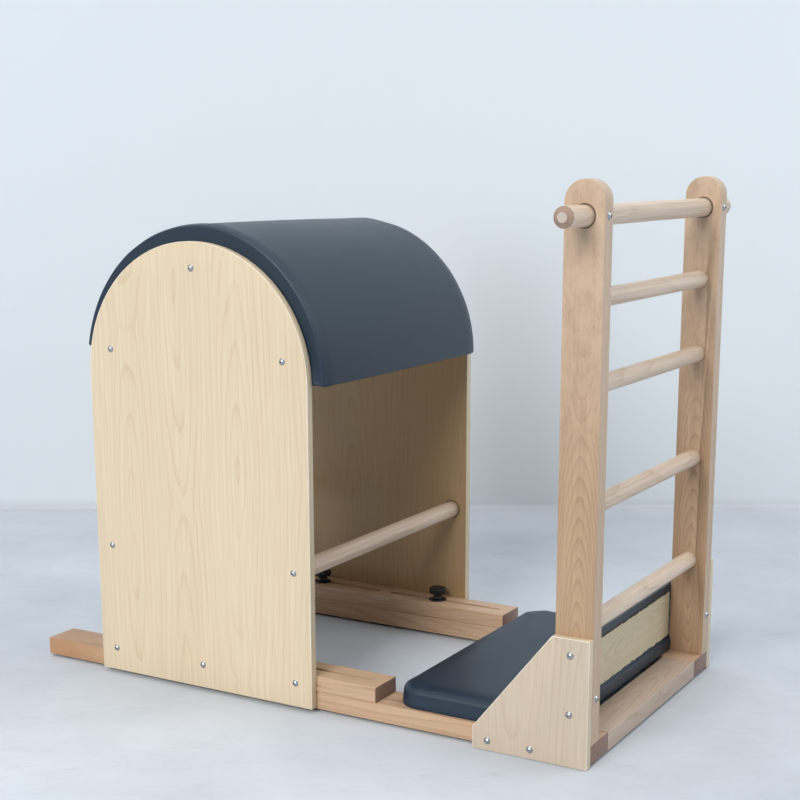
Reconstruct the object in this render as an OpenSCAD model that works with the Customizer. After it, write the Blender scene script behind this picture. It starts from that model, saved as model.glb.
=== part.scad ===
// Pilates ladder barrel: a padded arch that slides along a wooden base, with a ladder of rungs at one end.
// X runs along the base towards the ladder, Y across it, Z up.
// The floor is z = 0, and X and Y are zero mid-way.

/* [Base frame] */
// Length of the two base rails
base_len = 1330; // [1300:1:1500]
// Width of each base rail
rail_w = 82; // [70:1:100]
// Height of each base rail
rail_h = 38; // [34:1:50]
// Height of the rubber feet
foot_h = 5; // [5:0.5:12]
// Diameter of the rubber feet
foot_d = 34; // [20:1:50]
// Distance from a rail's end to the centre of its end foot
foot_inset = 60; // [40:1:120]
// Width of the board that joins the rails under the ladder
end_board_w = 70; // [60:1:76]
// Diameter of the wooden pins in the end board
peg_d = 10; // [8:0.5:14]
// Length of the wooden pins in the end board
peg_l = 60; // [40:1:80]

/* [Ladder] */
// Width of each post, along the base
post_w = 76; // [74:1:90]
// Thickness of each post
post_t = 36; // [32:1:40]
// Height of the top bar's axis above the floor
bar_z = 1004; // [960:1:1100]
// Distance from the top bar's axis to the posts' rounded top
post_top = 62.5; // [56:0.5:70]
// Diameter of the top bar
bar_d = 38; // [32:0.5:44]
// Length of the top bar that stands out past each post
bar_reach = 94; // [60:1:120]
// Diameter of the flat left on the top bar's ends
bar_flat_d = 18; // [10:0.5:26]
// Length of the chamfer on the top bar's ends
bar_chamfer = 7.5; // [4:0.5:12]
// Clearance of the top bar in its holes, on the radius
bar_play = 0.75; // [0.3:0.05:0.9]
// Diameter of the rungs
rung_d = 35; // [30:0.5:42]
// Depth of the blind holes that hold the rungs
rung_socket = 20; // [12:0.5:24]
// Height of the lowest rung above the floor
rung_1_z = 255; // [240:1:320]
// Height of the second rung above the floor
rung_2_z = 480; // [400:1:560]
// Height of the third rung above the floor
rung_3_z = 702; // [640:1:760]
// Height of the fourth rung above the floor
rung_4_z = 858; // [820:1:900]

/* [Gussets] */
// Thickness of the gusset boards
gusset_t = 18; // [12:1:22]
// Length of the gusset boards
gusset_l = 237; // [200:1:300]
// Height of the gussets' top above the rails' underside
gusset_h = 244; // [220:1:300]
// Length of the gussets' flat top
gusset_top = 75; // [60:1:85]
// Height of the gussets' low end
gusset_low = 43; // [36:1:60]
// Distance that the gussets reach below the rails' underside
gusset_drop = 4; // [1:0.5:4]

/* [Barrel] */
// Width over the two side panels
barrel_w = 688; // [620:1:740]
// Length of each side panel along the base
panel_l = 550; // [500:1:600]
// Height of the side panels' top above the floor
panel_top = 943; // [900:1:1000]
// Thickness of the side panels
panel_t = 18; // [15:0.5:22]
// Distance from the side panels' lower edge down to the rails' underside
panel_lift = 4; // [1:0.5:12]
// Gap between a side panel and the base rail beside it
guide_gap = 1.5; // [0.5:0.1:3]
// Side of the square battens under the arch
batten_s = 40; // [30:1:46]
// Angle of the two lower battens above the arch's centre
batten_angle = 12.4; // [10:0.1:20]
// Diameter of the two cross dowels
dowel_d = 38; // [30:0.5:44]
// Depth of the blind holes that hold the cross dowels
dowel_socket = 8; // [5:0.5:10]
// Height of the cross dowels above the floor
dowel_z = 291; // [240:1:340]
// Distance from the panels' upright edges to the cross dowels
dowel_inset = 40; // [32:1:60]

/* [Barrel pad] */
// Thickness of the bent plywood under the pad
shell_t = 9; // [6:0.5:12]
// Depth of the plywood's outer face below the panels' edge
shell_sink = 24; // [20:1:30]
// Height of the pad above the panels' edge
pad_proud = 27; // [15:0.5:30]
// Extra height of the pad half way across
pad_crown = 2; // [1:0.5:4]
// Rounding of the pad's edges
pad_round = 14; // [10:1:20]
// Angle where the pad ends on the ladder side
pad_front_angle = 0; // [0:0.5:4]
// Angle where the pad ends on the free side
pad_rear_angle = 170.5; // [168:0.5:174]
// Thickness of the leather covers
leather_t = 1.2; // [0.8:0.1:2]

/* [Slide and clamps] */
// Height of the slotted rails under the side panels
slide_h = 32; // [26:1:40]
// Length of each slot
slot_len = 297; // [280:1:310]
// Width of each slot
slot_w = 9; // [8.6:0.1:10]
// Wood left between the two slots of a rail
slot_gap = 30; // [20:1:50]
// Wood left between a slot and the rail's end
slot_end = 27; // [20:1:50]
// Distance from the side panels' free-side edge to the slotted rails
slide_inset = 12; // [4:1:20]
// Distance from the slotted rails to the foot pad
slide_room = 33.7; // [32:0.1:60]
// Distance from a slot's free-side end to its clamp
clamp_set = 130; // [60:1:230]
// Diameter of the clamp studs
stud_d = 8; // [6:0.5:8]
// Length of the clamp studs
stud_len = 74; // [66:1:76]
// Diameter of the knobs
knob_d = 41; // [34:1:50]
// Height of the knobs
knob_h = 27; // [22:1:36]
// Diameter of the knobs' necks
knob_neck_d = 22; // [18:1:28]
// Diameter of the clamp washers
washer_d = 42; // [30:1:60]
// Thickness of the clamp washers
washer_t = 3.6; // [2:0.2:6]
// Outer diameter of the threaded inserts
insert_d = 12; // [11:0.5:16]
// Length of the threaded inserts
insert_l = 20; // [14:1:26]

/* [Foot pad and kick board] */
// Thickness of the foot pad's board
foot_board_t = 15; // [10:1:18]
// Height of the foot pad over all
foot_pad_h = 44.5; // [34:0.5:56]
// Length of the foot pad along the base
foot_pad_l = 314; // [260:1:314]
// Distance from the base rails' outer faces to the foot pad
foot_pad_inset = 8; // [4:1:20]
// Corner radius of the foot pad on the barrel's side
foot_pad_corner = 54; // [24:1:70]
// Thickness of the kick board's plywood
kick_board_t = 12; // [9:1:18]
// Thickness of the kick board over all
kick_pad_t = 38; // [34:1:40]
// Height of the kick board
kick_pad_h = 153; // [120:1:170]
// Width of the leather folded over the kick board's back along its sides and foot
kick_fold = 34; // [20:1:45]
// Width of the leather folded over the kick board's back along its top
kick_fold_top = 18; // [12:1:30]

/* [Screws] */
// Diameter of the screw heads
head_d = 14.5; // [12:0.5:18]
// Height of the screw heads
head_h = 4.5; // [3:0.5:6]
// Diameter of the screw shanks
shank_d = 6; // [4:0.5:7]
// Length of the screw shanks in the panels and gussets
shank_l = 48; // [30:1:50]
// Size of the hexagon sockets across their corners
hex_d = 5.8; // [4:0.2:6]
// Distance from the gussets' top to their top screw
gusset_screw_down = 32; // [20:1:60]
// Distance from the base rails' top to the gussets' next screw
gusset_screw_up = 60; // [40:1:90]
// Distance from the gussets' low end to their first screw
gusset_screw_in = 32; // [20:1:50]
// Distance between the gussets' two low screws
gusset_screw_step = 89; // [60:1:110]
// Distance from the base rails' top to the kick board's screws
kick_screw_up = 87; // [50:1:110]
// Distance from the foot pad's ends to its screws
foot_screw_in = 70; // [50:1:100]

/* [Hidden] */
$fn = 96;
maple = [0.91, 0.84, 0.71];
beech = [0.80, 0.64, 0.47];
birch = [0.86, 0.76, 0.58];
slate = [0.25, 0.31, 0.37];
black = [0.05, 0.05, 0.06];
foam_grey = [0.72, 0.72, 0.70];
steel = [0.78, 0.79, 0.80];
brass = [0.75, 0.62, 0.35];

// Clearances: between glued or screwed faces, between sliding faces, and of a stud in its thread
seam = 0.1;
run = 0.2;
thread_play = 0.05;

// Places along X
x_left = -(base_len + head_h) / 2;
x_end = x_left + base_len;
x_post = x_end - post_w;
x_bar = x_end - post_w / 2;
x_kick = x_post - seam;
x_foot_pad = x_kick - kick_pad_t - run - foot_pad_l;
slide_len = 2 * slot_len + slot_gap + 2 * slot_end;
x_slide = x_foot_pad - slide_room - slide_len;
x_panel = x_slide - slide_inset;
x_arch = x_panel + panel_l / 2;
clamp_xs = [for (i = [0, 1]) x_slide + slot_end + clamp_set + i * (slot_len + slot_gap)];

// Places across Y, for the far side: the near side is its mirror image
y_panel = barrel_w / 2 - panel_t;
y_rail = y_panel - guide_gap - rail_w;
y_face = y_rail + rail_w;
y_slide = y_panel - seam - rail_w;
y_slot = y_slide + rail_w / 2;
y_post = y_face - post_t;
foot_pad_w = 2 * (y_face - foot_pad_inset);
kick_pad_w = 2 * (y_face - 2);

// Heights
z_rail = foot_h + rail_h;
z_post_arc = bar_z + post_top - post_w / 2;
z_slide = z_rail + run;
z_washer = z_slide + slide_h + run;
z_knob = z_washer + washer_t + seam;
z_arch = panel_top - panel_l / 2;
rung_zs = [rung_1_z, rung_2_z, rung_3_z, rung_4_z];
knob_head = knob_h / 2;
stud_top = z_knob + knob_h - 6;

// Radii of the arch
r_panel = panel_l / 2;
r_shell = r_panel - shell_sink;
r_shell_in = r_shell - shell_t;
r_pad = r_panel + pad_proud;
pad_half_w = y_panel - 2 * seam;

// Places of the screws. On a side panel: along X, then up, from the panel's middle
r_batten = r_shell_in - batten_s / 2;
panel_screws = [
    [0, z_arch + r_batten],
    for (s = [-1, 1]) [s * r_batten * cos(batten_angle), z_arch + r_batten * sin(batten_angle)],
    for (s = [-1, 1]) [s * (panel_l / 2 - dowel_inset), dowel_z],
    for (s = [-1, 0, 1]) [s * (panel_l / 2 - dowel_inset), z_slide + slide_h / 2]
];
gusset_screws = [
    [x_bar, foot_h + gusset_h - gusset_screw_down],
    [x_bar, z_rail + gusset_screw_up],
    [x_end - gusset_l + gusset_screw_in, foot_h + rail_h * 0.4],
    [x_end - gusset_l + gusset_screw_in + gusset_screw_step, foot_h + rail_h * 0.4]
];
kick_screw_z = z_rail + kick_screw_up;
peg_xs = [x_end - end_board_w * 0.72, x_end - end_board_w * 0.28];
foot_screw_xs = [x_foot_pad + foot_screw_in, x_foot_pad + foot_pad_l - foot_screw_in];

// Puts a far-side piece on its side: 1 is far, -1 is near
module on_side(s) {
    if (s > 0) children();
    else mirror([0, 1, 0]) children();
}

// Cylinder along Y, from y up by h, at x and z
module rod_y(x, y, z, d, h) {
    translate([x, y, z]) rotate([-90, 0, 0]) cylinder(d = d, h = h);
}

// Button-head screw: head above z = 0, shank below it, grown by g for the hole that it needs
module screw(length, d = shank_d, g = 0) {
    r_ball = (head_d * head_d / 4 + head_h * head_h) / (2 * head_h);
    translate([0, 0, -length - g]) cylinder(d = d + 2 * g, h = length + g + (g > 0 ? 1 : 0));
    if (g == 0) difference() {
        intersection() {
            translate([0, 0, head_h - r_ball]) sphere(r = r_ball);
            cylinder(d = head_d, h = head_h);
        }
        translate([0, 0, head_h * 0.35]) cylinder(d = hex_d, h = head_h, $fn = 6);
    }
}

// Screws of one side panel, driven in from its outer face
module panel_screw_set(g = 0) {
    for (p = panel_screws)
        translate([x_arch + p[0], barrel_w / 2, p[1]]) rotate([-90, 0, 0]) screw(shank_l, g = g);
}

// Screws of one gusset, driven in from its outer face
module gusset_screw_set(g = 0) {
    for (p = gusset_screws)
        translate([p[0], y_face + gusset_t, p[1]]) rotate([-90, 0, 0]) screw(shank_l, g = g);
}

// Screw that holds the top bar in a post
module bar_screw(g = 0) {
    translate([x_end, y_post + post_t / 2, bar_z]) rotate([0, 90, 0])
        screw((post_w - bar_d) / 2 + 6, g = g);
}

// Screw that holds the kick board to a post
module kick_screw(g = 0) {
    translate([x_end, y_post + post_t / 2, kick_screw_z]) rotate([0, 90, 0])
        screw(post_w + seam + leather_t + kick_board_t - 2, g = g);
}

// Screws from under a base rail into the foot pad's board, with their heads let in
module foot_screw_set(g = 0) {
    head_z = foot_h + rail_h / 3;
    for (x = foot_screw_xs)
        translate([x, y_slot, head_z]) rotate([180, 0, 0]) {
            screw(z_rail + leather_t + foot_board_t - 3 - head_z, g = g);
            if (g > 0) cylinder(d = head_d + 2, h = head_z);
        }
}

// Wooden pins between the end board and one base rail
module peg_set(g = 0) {
    for (x = peg_xs)
        rod_y(x, y_rail - peg_l / 2 - g, foot_h + rail_h / 2, peg_d + 2 * g, peg_l + 2 * g);
}

module base_rail(s) {
    color(beech) on_side(s) difference() {
        translate([x_left, y_rail, foot_h]) cube([base_len, rail_w, rail_h]);
        gusset_screw_set(seam);
        foot_screw_set(seam);
        peg_set(seam);
        for (x = clamp_xs) translate([x, y_slot, 0]) {
            translate([0, 0, z_rail - insert_l]) cylinder(d = insert_d + 2 * seam, h = insert_l + 1);
            translate([0, 0, stud_top - stud_len - 3]) cylinder(d = stud_d + 1, h = rail_h);
        }
    }
}

module end_board() {
    color(beech) difference() {
        translate([x_end - end_board_w, -y_rail + seam, foot_h])
            cube([end_board_w, 2 * (y_rail - seam), rail_h]);
        for (s = [-1, 1]) on_side(s) peg_set(seam);
    }
}

module end_board_pegs() {
    color(birch) for (s = [-1, 1]) on_side(s) peg_set();
}

module feet() {
    foot_xs = [x_left + foot_inset, (x_left + x_end) / 2 - foot_d, x_end - foot_inset];
    color(black) for (s = [-1, 1], x = foot_xs)
        on_side(s) translate([x, y_slot, 0]) cylinder(d = foot_d, h = foot_h - seam / 2);
}

module rail_inserts() {
    color(brass) for (s = [-1, 1], x = clamp_xs)
        on_side(s) translate([x, y_slot, z_rail - insert_l]) difference() {
            cylinder(d = insert_d, h = insert_l);
            translate([0, 0, -1]) cylinder(d = stud_d + 2 * thread_play, h = insert_l + 2);
        }
}

module post(s) {
    color(beech) on_side(s) difference() {
        union() {
            translate([x_post, y_post, z_rail + seam / 2])
                cube([post_w, post_t, z_post_arc - z_rail - seam / 2]);
            rod_y(x_bar, y_post, z_post_arc, post_w, post_t);
        }
        rod_y(x_bar, y_post - 1, bar_z, bar_d + 2 * bar_play, post_t + 2);
        for (z = rung_zs) rod_y(x_bar, y_post - 1, z, rung_d + 2 * seam, rung_socket + 1);
        gusset_screw_set(seam);
        bar_screw(seam);
        kick_screw(seam);
    }
}

module rung(z) {
    half = y_post + rung_socket - seam;
    color(beech) rod_y(x_bar, -half, z, rung_d, 2 * half);
}

module top_bar() {
    half = y_face + bar_reach;
    color(beech) difference() {
        union() {
            rod_y(x_bar, -half + bar_chamfer, bar_z, bar_d, 2 * (half - bar_chamfer));
            for (s = [-1, 1]) on_side(s) translate([x_bar, half - bar_chamfer, bar_z]) rotate([-90, 0, 0])
                cylinder(d1 = bar_d, d2 = bar_flat_d, h = bar_chamfer);
        }
        for (s = [-1, 1]) on_side(s) bar_screw(seam);
    }
}

module top_bar_screws() {
    color(steel) for (s = [-1, 1]) on_side(s) bar_screw();
}

module gusset(s) {
    outline = [
        [x_end - gusset_l, foot_h - gusset_drop],
        [x_end, foot_h - gusset_drop],
        [x_end, foot_h + gusset_h],
        [x_end - gusset_top, foot_h + gusset_h],
        [x_end - gusset_l, foot_h - gusset_drop + gusset_low]
    ];
    color(maple) on_side(s) difference() {
        translate([0, y_face + seam / 2, 0]) rotate([90, 0, 0]) mirror([0, 0, 1])
            linear_extrude(gusset_t - seam / 2) polygon(outline);
        gusset_screw_set(seam);
    }
}

module gusset_screw_group(s) {
    color(steel) on_side(s) gusset_screw_set();
}

// Points of a rounded rectangle, l by w, whose corners on the x = 0 side have radius ra and the others rb
function ring_points(l, w, ra, rb, inset, z, steps = 6) = [
    for (c = [[l - rb, w / 2 - rb, rb, 0], [ra, w / 2 - ra, ra, 90],
              [ra, ra - w / 2, ra, 180], [l - rb, rb - w / 2, rb, 270]],
         i = [0 : steps])
        let (a = c[3] + 90 * i / steps, r = max(c[2] - inset, 0.5), pull = min(c[2] - inset - 0.5, 0))
        [c[0] + r * cos(a) + pull * sign(cos(c[3] + 45)), c[1] + r * sin(a) + pull * sign(sin(c[3] + 45)), z]
];

// The same ring drawn in towards the middle of the rectangle by the share k
function drawn_ring(ring, l, k, z) = [for (p = ring) [l / 2 + (p[0] - l / 2) * k, p[1] * k, z]];

// Crowned cushion on z = 0: upright sides that bulge a little, a rounded edge and a domed top, grown by -t
module cushion(l, w, h, ra, rb, edge, crown, t = 0, foot = 0) {
    arc_steps = 5;
    side = h - crown - edge;
    base_ring = ring_points(l, w, ra, rb, edge + t, h - crown - t);
    rings = concat(
        [ring_points(l, w, ra, rb, tuck + t, foot),
         ring_points(l, w, ra, rb, tuck_mid + t, foot + (side - foot) * 0.3),
         ring_points(l, w, ra, rb, t, foot + (side - foot) * 0.7)],
        [for (i = [0 : arc_steps]) let (a = 90 * i / arc_steps)
            ring_points(l, w, ra, rb, edge * (1 - cos(a)) + t, side - t + edge * sin(a))],
        [for (k = [0.8, 0.5, 0.2]) drawn_ring(base_ring, l, k, h - t - crown * k * k)]
    );
    n = len(rings[0]);
    last = len(rings) - 1;
    points = concat([for (r = rings) each r], [[l / 2, 0, foot], [l / 2, 0, h - t]]);
    faces = concat(
        [for (i = [0 : n - 1]) [i, (i + 1) % n, len(points) - 2]],
        [for (k = [0 : last - 1], i = [0 : n - 1]) each
            let (j = (i + 1) % n, a = k * n, b = a + n) [[a + i, b + i, b + j], [a + i, b + j, a + j]]],
        [for (i = [0 : n - 1]) [last * n + (i + 1) % n, last * n + i, len(points) - 1]]
    );
    polyhedron(points, faces);
}

// Flat board with the cushion's plan
module pad_board(l, w, t, ra, rb) {
    linear_extrude(t) {
        for (s = [-1, 1]) {
            translate([ra, s * (w / 2 - ra)]) circle(r = ra);
            translate([l - rb, s * (w / 2 - rb)]) circle(r = rb);
        }
        translate([0, -w / 2 + ra]) square([l, w - 2 * ra]);
        translate([ra, -w / 2]) square([l - ra - rb, w]);
        translate([l / 2, -w / 2 + rb]) square([l / 2, w - 2 * rb]);
    }
}

// How far a cushion draws in at its foot and half way down its sides
tuck = 1.5;
tuck_mid = 0.4;

foot_edge = 16;
foot_crown = 2;
foot_back_corner = 20;
foot_fold = 24;

module in_foot_pad() {
    translate([x_foot_pad, 0, z_rail + seam / 2]) children();
}

module foot_board() {
    g = leather_t + tuck + seam;
    color(birch) difference() {
        in_foot_pad() translate([g, 0, leather_t + seam / 2])
            pad_board(foot_pad_l - 2 * g, foot_pad_w - 2 * g, foot_board_t,
                foot_pad_corner, foot_back_corner);
        for (s = [-1, 1]) on_side(s) foot_screw_set(seam);
    }
}

module foot_pad_foam() {
    color(foam_grey) in_foot_pad()
        cushion(foot_pad_l, foot_pad_w, foot_pad_h, foot_pad_corner, foot_back_corner,
            foot_edge, foot_crown,
            t = leather_t + seam, foot = leather_t + foot_board_t + seam);
}

module foot_pad_cover() {
    color(slate) in_foot_pad() difference() {
        cushion(foot_pad_l, foot_pad_w, foot_pad_h, foot_pad_corner, foot_back_corner,
            foot_edge, foot_crown);
        cushion(foot_pad_l, foot_pad_w, foot_pad_h, foot_pad_corner, foot_back_corner,
            foot_edge, foot_crown,
            t = leather_t, foot = leather_t);
        translate([foot_fold, foot_fold - foot_pad_w / 2, -1])
            cube([foot_pad_l - 2 * foot_fold, foot_pad_w - 2 * foot_fold, leather_t + 2]);
    }
}

module foot_board_screws() {
    color(steel) for (s = [-1, 1]) on_side(s) foot_screw_set();
}

kick_edge = 13;
kick_crown = 2;
kick_corner = 15;

// Stands the kick board up on the rails with its back against the posts
module in_kick_pad() {
    translate([x_kick, 0, z_rail + seam / 2]) rotate([0, -90, 0]) children();
}

module kick_board() {
    g = leather_t + tuck + seam;
    color(birch) difference() {
        in_kick_pad() translate([g, 0, leather_t + seam / 2])
            pad_board(kick_pad_h - 2 * g, kick_pad_w - 2 * g, kick_board_t, kick_corner, kick_corner);
        for (s = [-1, 1]) on_side(s) kick_screw(seam);
    }
}

module kick_pad_foam() {
    color(foam_grey) in_kick_pad()
        cushion(kick_pad_h, kick_pad_w, kick_pad_t, kick_corner, kick_corner, kick_edge, kick_crown,
            t = leather_t + seam, foot = leather_t + kick_board_t + seam);
}

module kick_pad_cover() {
    color(slate) difference() {
        in_kick_pad() difference() {
            cushion(kick_pad_h, kick_pad_w, kick_pad_t, kick_corner, kick_corner, kick_edge, kick_crown);
            cushion(kick_pad_h, kick_pad_w, kick_pad_t, kick_corner, kick_corner, kick_edge, kick_crown,
                t = leather_t, foot = leather_t);
            translate([kick_fold, kick_fold - kick_pad_w / 2, -1])
                cube([kick_pad_h - kick_fold - kick_fold_top, kick_pad_w - 2 * kick_fold, leather_t + 2]);
        }
        for (s = [-1, 1]) on_side(s) kick_screw(seam);
    }
}

module kick_board_screws() {
    color(steel) for (s = [-1, 1]) on_side(s) kick_screw();
}

// Cross dowels of the barrel: -1 is the free side's, 1 is the ladder side's
module dowel(s) {
    half = y_panel + dowel_socket - seam;
    color(beech) difference() {
        rod_y(x_arch + s * (panel_l / 2 - dowel_inset), -half, dowel_z, dowel_d, 2 * half);
        for (t = [-1, 1]) on_side(t) panel_screw_set(seam);
    }
}

module side_panel(s) {
    z_foot = foot_h + panel_lift;
    color(maple) on_side(s) difference() {
        union() {
            translate([x_panel, y_panel, z_foot]) cube([panel_l, panel_t, z_arch - z_foot]);
            rod_y(x_arch, y_panel, z_arch, panel_l, panel_t);
        }
        for (t = [-1, 1])
            rod_y(x_arch + t * (panel_l / 2 - dowel_inset), y_panel - 1, dowel_z,
                dowel_d + 2 * seam, dowel_socket + 1);
        panel_screw_set(seam);
    }
}

module slotted_rail(s) {
    color(beech) on_side(s) difference() {
        translate([x_slide, y_slide, z_slide]) cube([slide_len, rail_w, slide_h]);
        for (i = [0, 1])
            translate([x_slide + slot_end + i * (slot_len + slot_gap), y_slot, z_slide - 1])
                linear_extrude(slide_h + 2) {
                    for (x = [slot_w / 2, slot_len - slot_w / 2]) translate([x, 0]) circle(d = slot_w);
                    translate([slot_w / 2, -slot_w / 2]) square([slot_len - slot_w, slot_w]);
                }
        panel_screw_set(seam);
    }
}

// Batten across the barrel at an angle of the arch, its outer face curved to the plywood
module batten(angle) {
    half = y_panel - seam;
    color(beech) difference() {
        intersection() {
            translate([x_arch, 0, z_arch]) rotate([0, -angle, 0])
                translate([r_batten - batten_s / 2, -half, -batten_s / 2])
                    cube([batten_s, 2 * half, batten_s]);
            rod_y(x_arch, -half - 1, z_arch, 2 * (r_shell_in - seam), 2 * half + 2);
        }
        for (s = [-1, 1]) on_side(s) panel_screw_set(seam);
    }
}

// Wedge of the plane from angle a0 to a1
module wedge(a0, a1, r) {
    polygon(concat([[0, 0]], [for (i = [0 : 4]) let (a = a0 + (a1 - a0) * i / 4) r * [cos(a), sin(a)]]));
}

// Part of a ring between two angles, its two outer corners rounded
module arc_band(r_in, r_out, a0, a1, corner) {
    r_mid = r_out - corner;
    turn = asin(corner / r_mid);
    intersection() {
        wedge(a0, a1, 2 * r_out);
        difference() {
            circle(r = r_mid, $fn = 240);
            circle(r = r_in, $fn = 240);
        }
    }
    intersection() {
        wedge(a0 + turn, a1 - turn, 2 * r_out);
        difference() {
            circle(r = r_out, $fn = 240);
            circle(r = r_mid - 1, $fn = 240);
        }
    }
    for (a = [a0 + turn, a1 - turn]) rotate(a) translate([r_mid, 0]) circle(r = corner);
}

// Outline of the pad across the barrel: flat sides, rounded edges and a slight crown
function pad_profile(r_in, r_out, half, edge, crown) = concat(
    [[r_in, -half]],
    [for (i = [0 : 5]) let (a = 90 * i / 5) [r_out - edge + edge * sin(a), edge - half - edge * cos(a)]],
    [for (i = [1 : 7]) let (u = 2 * i / 8 - 1) [r_out + crown * (1 - u * u), u * (half - edge)]],
    [for (i = [5 : -1 : 0]) let (a = 90 * i / 5) [r_out - edge + edge * sin(a), half - edge + edge * cos(a)]],
    [[r_in, half]]
);

// Solid bent over the arch, made smaller by t all over
module arch_pad(r_in, a0, a1, t) {
    turn = t / r_pad * 180 / PI;
    translate([x_arch, 0, z_arch]) rotate([90, 0, 0]) intersection() {
        linear_extrude(2 * pad_half_w + 2, center = true)
            arc_band(r_in, r_pad + pad_crown + 0.5 - t, a0 + turn, a1 - turn, pad_round);
        rotate_extrude($fn = 240)
            polygon(pad_profile(r_in - 1, r_pad - t, pad_half_w - t, pad_round, pad_crown));
    }
}

shell_turn = 0.4;

module barrel_shell() {
    color(birch) translate([x_arch, 0, z_arch]) rotate([90, 0, 0])
        linear_extrude(2 * (pad_half_w - leather_t - seam), center = true) intersection() {
            wedge(pad_front_angle + shell_turn, pad_rear_angle - shell_turn, 2 * r_pad);
            difference() {
                circle(r = r_shell - seam, $fn = 240);
                circle(r = r_shell_in, $fn = 240);
            }
        }
}

module barrel_foam() {
    color(foam_grey) arch_pad(r_shell, pad_front_angle, pad_rear_angle, leather_t + 2 * seam);
}

module barrel_cover() {
    color(slate) difference() {
        arch_pad(r_shell_in, pad_front_angle, pad_rear_angle, 0);
        arch_pad(r_shell_in - 1, pad_front_angle, pad_rear_angle, leather_t);
    }
}

module panel_screw_group(s) {
    color(steel) on_side(s) panel_screw_set();
}

// The four clamps: 1 and 2 on the near rail, 3 and 4 on the far rail, the odd ones on the free side
module at_clamp(i) {
    s = i < 3 ? -1 : 1;
    translate([clamp_xs[(i - 1) % 2], s * y_slot, 0]) children();
}

module clamp_washer(i) {
    color(black) at_clamp(i) translate([0, 0, z_washer]) difference() {
        cylinder(d = washer_d, h = washer_t);
        translate([0, 0, -1]) cylinder(d = stud_d + 0.6, h = washer_t + 2);
    }
}

// Outline of the knob: a neck that flares into a rounded head
function knob_profile() = concat(
    [[0, 0], [knob_neck_d / 2 + 2, 0]],
    [for (i = [0 : 4]) let (a = 45 * i, r = knob_head / 3)
        [knob_neck_d / 2 + 2 - r * sin(a) * 0.5, r + r * (1 - cos(a)) / 2 * 1.6]],
    [[knob_d / 2 - 2, knob_head], [knob_d / 2, knob_head + 2]],
    [for (i = [0 : 5]) let (a = 90 * i / 5, r = knob_head / 3)
        [knob_d / 2 - r + r * cos(a), knob_h - r + r * sin(a)]],
    [[0, knob_h + 0.01]]
);

module clamp_knob(i) {
    color(black) at_clamp(i) difference() {
        translate([0, 0, z_knob]) rotate_extrude() polygon(knob_profile());
        translate([0, 0, z_knob - 1])
            cylinder(d = stud_d + 2 * thread_play, h = stud_top - z_knob + 1 + seam);
    }
}

module clamp_stud(i) {
    color(steel) at_clamp(i) translate([0, 0, stud_top - stud_len]) cylinder(d = stud_d, h = stud_len);
}

base_rail(-1);  // base_rail_near
base_rail(1);  // base_rail_far
end_board();
end_board_pegs();
feet();
rail_inserts();
post(-1);  // post_near
post(1);  // post_far
rung(rung_1_z);  // rung_1
rung(rung_2_z);  // rung_2
rung(rung_3_z);  // rung_3
rung(rung_4_z);  // rung_4
top_bar();
top_bar_screws();
gusset(-1);  // gusset_near
gusset(1);  // gusset_far
gusset_screw_group(-1);  // gusset_screws_near
gusset_screw_group(1);  // gusset_screws_far
foot_board();
foot_pad_foam();
foot_pad_cover();
foot_board_screws();
kick_board();
kick_pad_foam();
kick_pad_cover();
kick_board_screws();
side_panel(-1);  // side_panel_near
side_panel(1);  // side_panel_far
slotted_rail(-1);  // slotted_rail_near
slotted_rail(1);  // slotted_rail_far
batten(90);  // top_batten
batten(batten_angle);  // front_batten
batten(180 - batten_angle);  // rear_batten
dowel(1);  // front_dowel
dowel(-1);  // rear_dowel
barrel_shell();
barrel_foam();
barrel_cover();
panel_screw_group(-1);  // panel_screws_near
panel_screw_group(1);  // panel_screws_far
clamp_washer(1);  // clamp_washer_1
clamp_washer(2);  // clamp_washer_2
clamp_washer(3);  // clamp_washer_3
clamp_washer(4);  // clamp_washer_4
clamp_knob(1);  // clamp_knob_1
clamp_knob(2);  // clamp_knob_2
clamp_knob(3);  // clamp_knob_3
clamp_knob(4);  // clamp_knob_4
clamp_stud(1);  // clamp_stud_1
clamp_stud(2);  // clamp_stud_2
clamp_stud(3);  // clamp_stud_3
clamp_stud(4);  // clamp_stud_4
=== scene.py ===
import math

import bmesh
import bpy
from mathutils import Matrix, Vector, noise


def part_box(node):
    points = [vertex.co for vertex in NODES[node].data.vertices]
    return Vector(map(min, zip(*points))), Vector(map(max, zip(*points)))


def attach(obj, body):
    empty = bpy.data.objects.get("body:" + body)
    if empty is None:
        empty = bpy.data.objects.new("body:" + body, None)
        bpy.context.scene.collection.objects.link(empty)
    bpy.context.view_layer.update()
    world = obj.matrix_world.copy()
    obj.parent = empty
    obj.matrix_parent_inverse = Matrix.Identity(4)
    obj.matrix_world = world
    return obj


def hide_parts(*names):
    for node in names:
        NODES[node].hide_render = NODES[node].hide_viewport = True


bl_info = {
    "name": "Ladder Barrel",
    "version": (1, 0, 0),
    "blender": (4, 5, 0),
    "location": "3D View > Sidebar > Barrel",
    "description": "Dresses a pilates ladder barrel with its wood, pads, knobs and studio",
    "category": "Object",
}

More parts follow.
